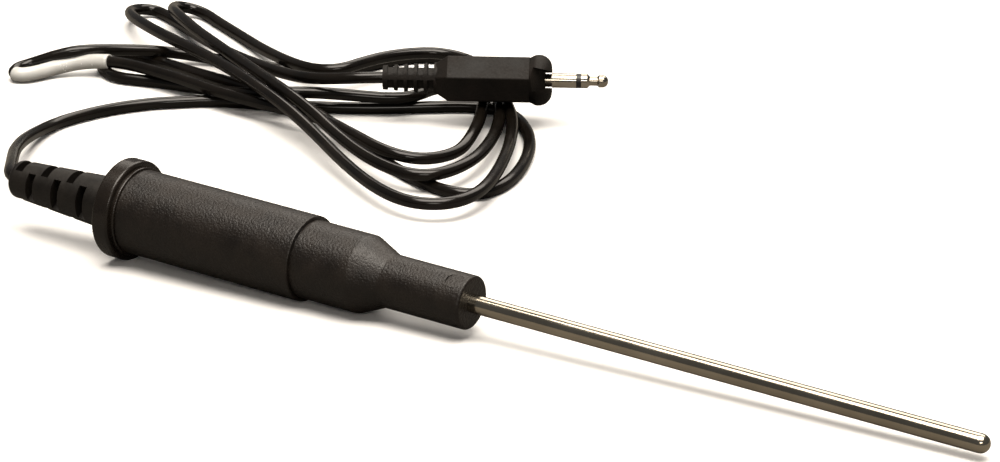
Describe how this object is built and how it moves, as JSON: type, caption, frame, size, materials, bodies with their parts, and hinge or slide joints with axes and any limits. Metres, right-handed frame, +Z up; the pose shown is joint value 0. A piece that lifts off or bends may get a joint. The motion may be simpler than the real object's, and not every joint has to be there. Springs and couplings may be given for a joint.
{
  "type": "thermistor probe",
  "caption": "Hand-held temperature probe: thin steel sheath, black moulded handle with stop flange and slotted boot, and a loosely looped lead ending in a moulded mono mini-jack plug.",
  "frame": {"origin": "on the surface the probe lies on, below the middle of the nose's front face, which is midway along the probe", "axes": "+Z up; the sheath's tip points along +X, dipping by 2.2 degrees; the lead and plug lie on the +Y side"},
  "size_m": [0.3106, 0.1641, 0.0223],
  "materials": {
    "sheath_steel": "polished drawn stainless steel tube",
    "glass_bead": "glass-coated thermistor bead",
    "resin": "dark potting resin",
    "sleeving": "thin insulating sleeving",
    "inner_brass": "stamped brass",
    "handle_plastic": "black moulded plastic with a fine grain",
    "boot_rubber": "black moulded rubber",
    "cable_jacket": "black flexible PVC jacket, satin gloss",
    "conductor_insulation": "coloured wire insulation",
    "solder": "tinned solder",
    "nickel_plate": "nickel plated brass",
    "plug_insulation": "dark moulded insulator",
    "plug_plastic": "black moulded plug body with a fine grain"
  },
  "bodies": {
    "root": {"sheath_tube": "sheath_steel", "thermistor_bead": "glass_bead", "tip_potting": "resin", "lead_sleeve": "sleeving", "sheath_ferrule": "inner_brass", "nose_bush": "handle_plastic", "nose_housing": "handle_plastic", "fill_plug": "handle_plastic", "joint_o_ring": "boot_rubber", "grip_barrel": "handle_plastic", "rear_cap": "handle_plastic", "rear_boot": "boot_rubber", "cable_clamp": "inner_brass", "cable_tail": "cable_jacket", "plug_sleeve_contact": "nickel_plate", "plug_insulator": "plug_insulation", "plug_tip_contact": "nickel_plate", "plug_tip_lug": "inner_brass", "plug_sleeve_lug": "inner_brass", "plug_cable_tail": "cable_jacket", "plug_inner_mould": "plug_insulation", "plug_overmould": "plug_plastic", "cable_lead": "cable_jacket", "cable_loops": "cable_jacket", "sensor_lead_a": "sleeving", "conductor_a": "conductor_insulation", "splice_a": "solder", "splice_sleeve_a": "sleeving", "plug_conductor_a": "conductor_insulation", "sensor_lead_b": "sleeving", "conductor_b": "conductor_insulation", "splice_b": "solder", "splice_sleeve_b": "sleeving", "plug_conductor_b": "conductor_insulation"}
  },
  "joints": []
}
